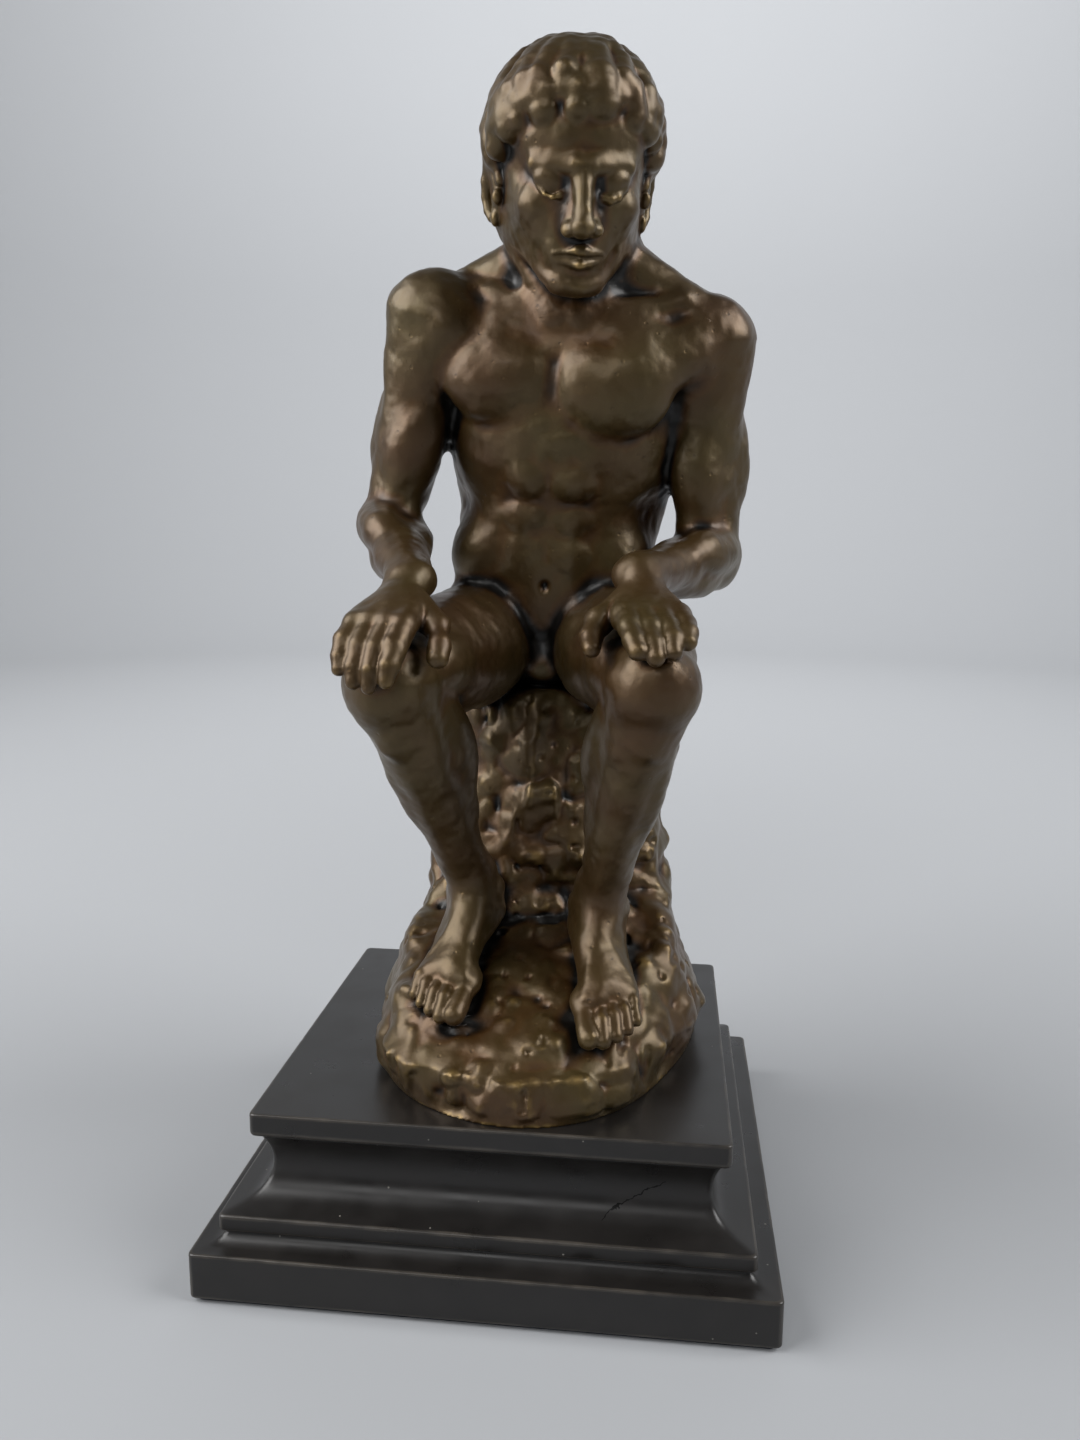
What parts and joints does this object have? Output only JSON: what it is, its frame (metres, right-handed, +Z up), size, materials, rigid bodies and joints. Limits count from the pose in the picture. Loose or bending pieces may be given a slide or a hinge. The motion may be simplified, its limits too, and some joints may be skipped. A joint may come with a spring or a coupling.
{
  "type": "seated figure statuette",
  "caption": "Bronze statuette of a seated man on a rock, bolted to a stepped black marble plinth with a felt pad; a free-standing ornament.",
  "frame": {"origin": "centre of the underside of the felt pad, where the statuette stands", "axes": "+Z up, the figure faces -Y, its right side is at -X"},
  "size_m": [0.15, 0.142, 0.3181],
  "materials": {
    "bronze": "satin brown patina with worn golden edges",
    "marble": "honed black marble with pale arrises",
    "felt": "pressed wool felt",
    "steel": "zinc plated"
  },
  "bodies": {
    "root": {"felt_pad": "felt", "marble_plinth": "marble", "mounting_studs": "steel", "washers": "steel", "nuts": "steel", "mounting_bar": "steel", "rock_casting": "bronze", "torso_casting": "bronze", "head_casting": "bronze", "right_arm_casting": "bronze", "left_arm_casting": "bronze", "right_leg_casting": "bronze", "left_leg_casting": "bronze", "core_plugs": "bronze", "neck_dowel": "bronze", "shoulder_dowels": "bronze", "hip_dowels": "bronze", "seat_dowels": "bronze", "foot_dowels": "bronze"}
  },
  "joints": []
}
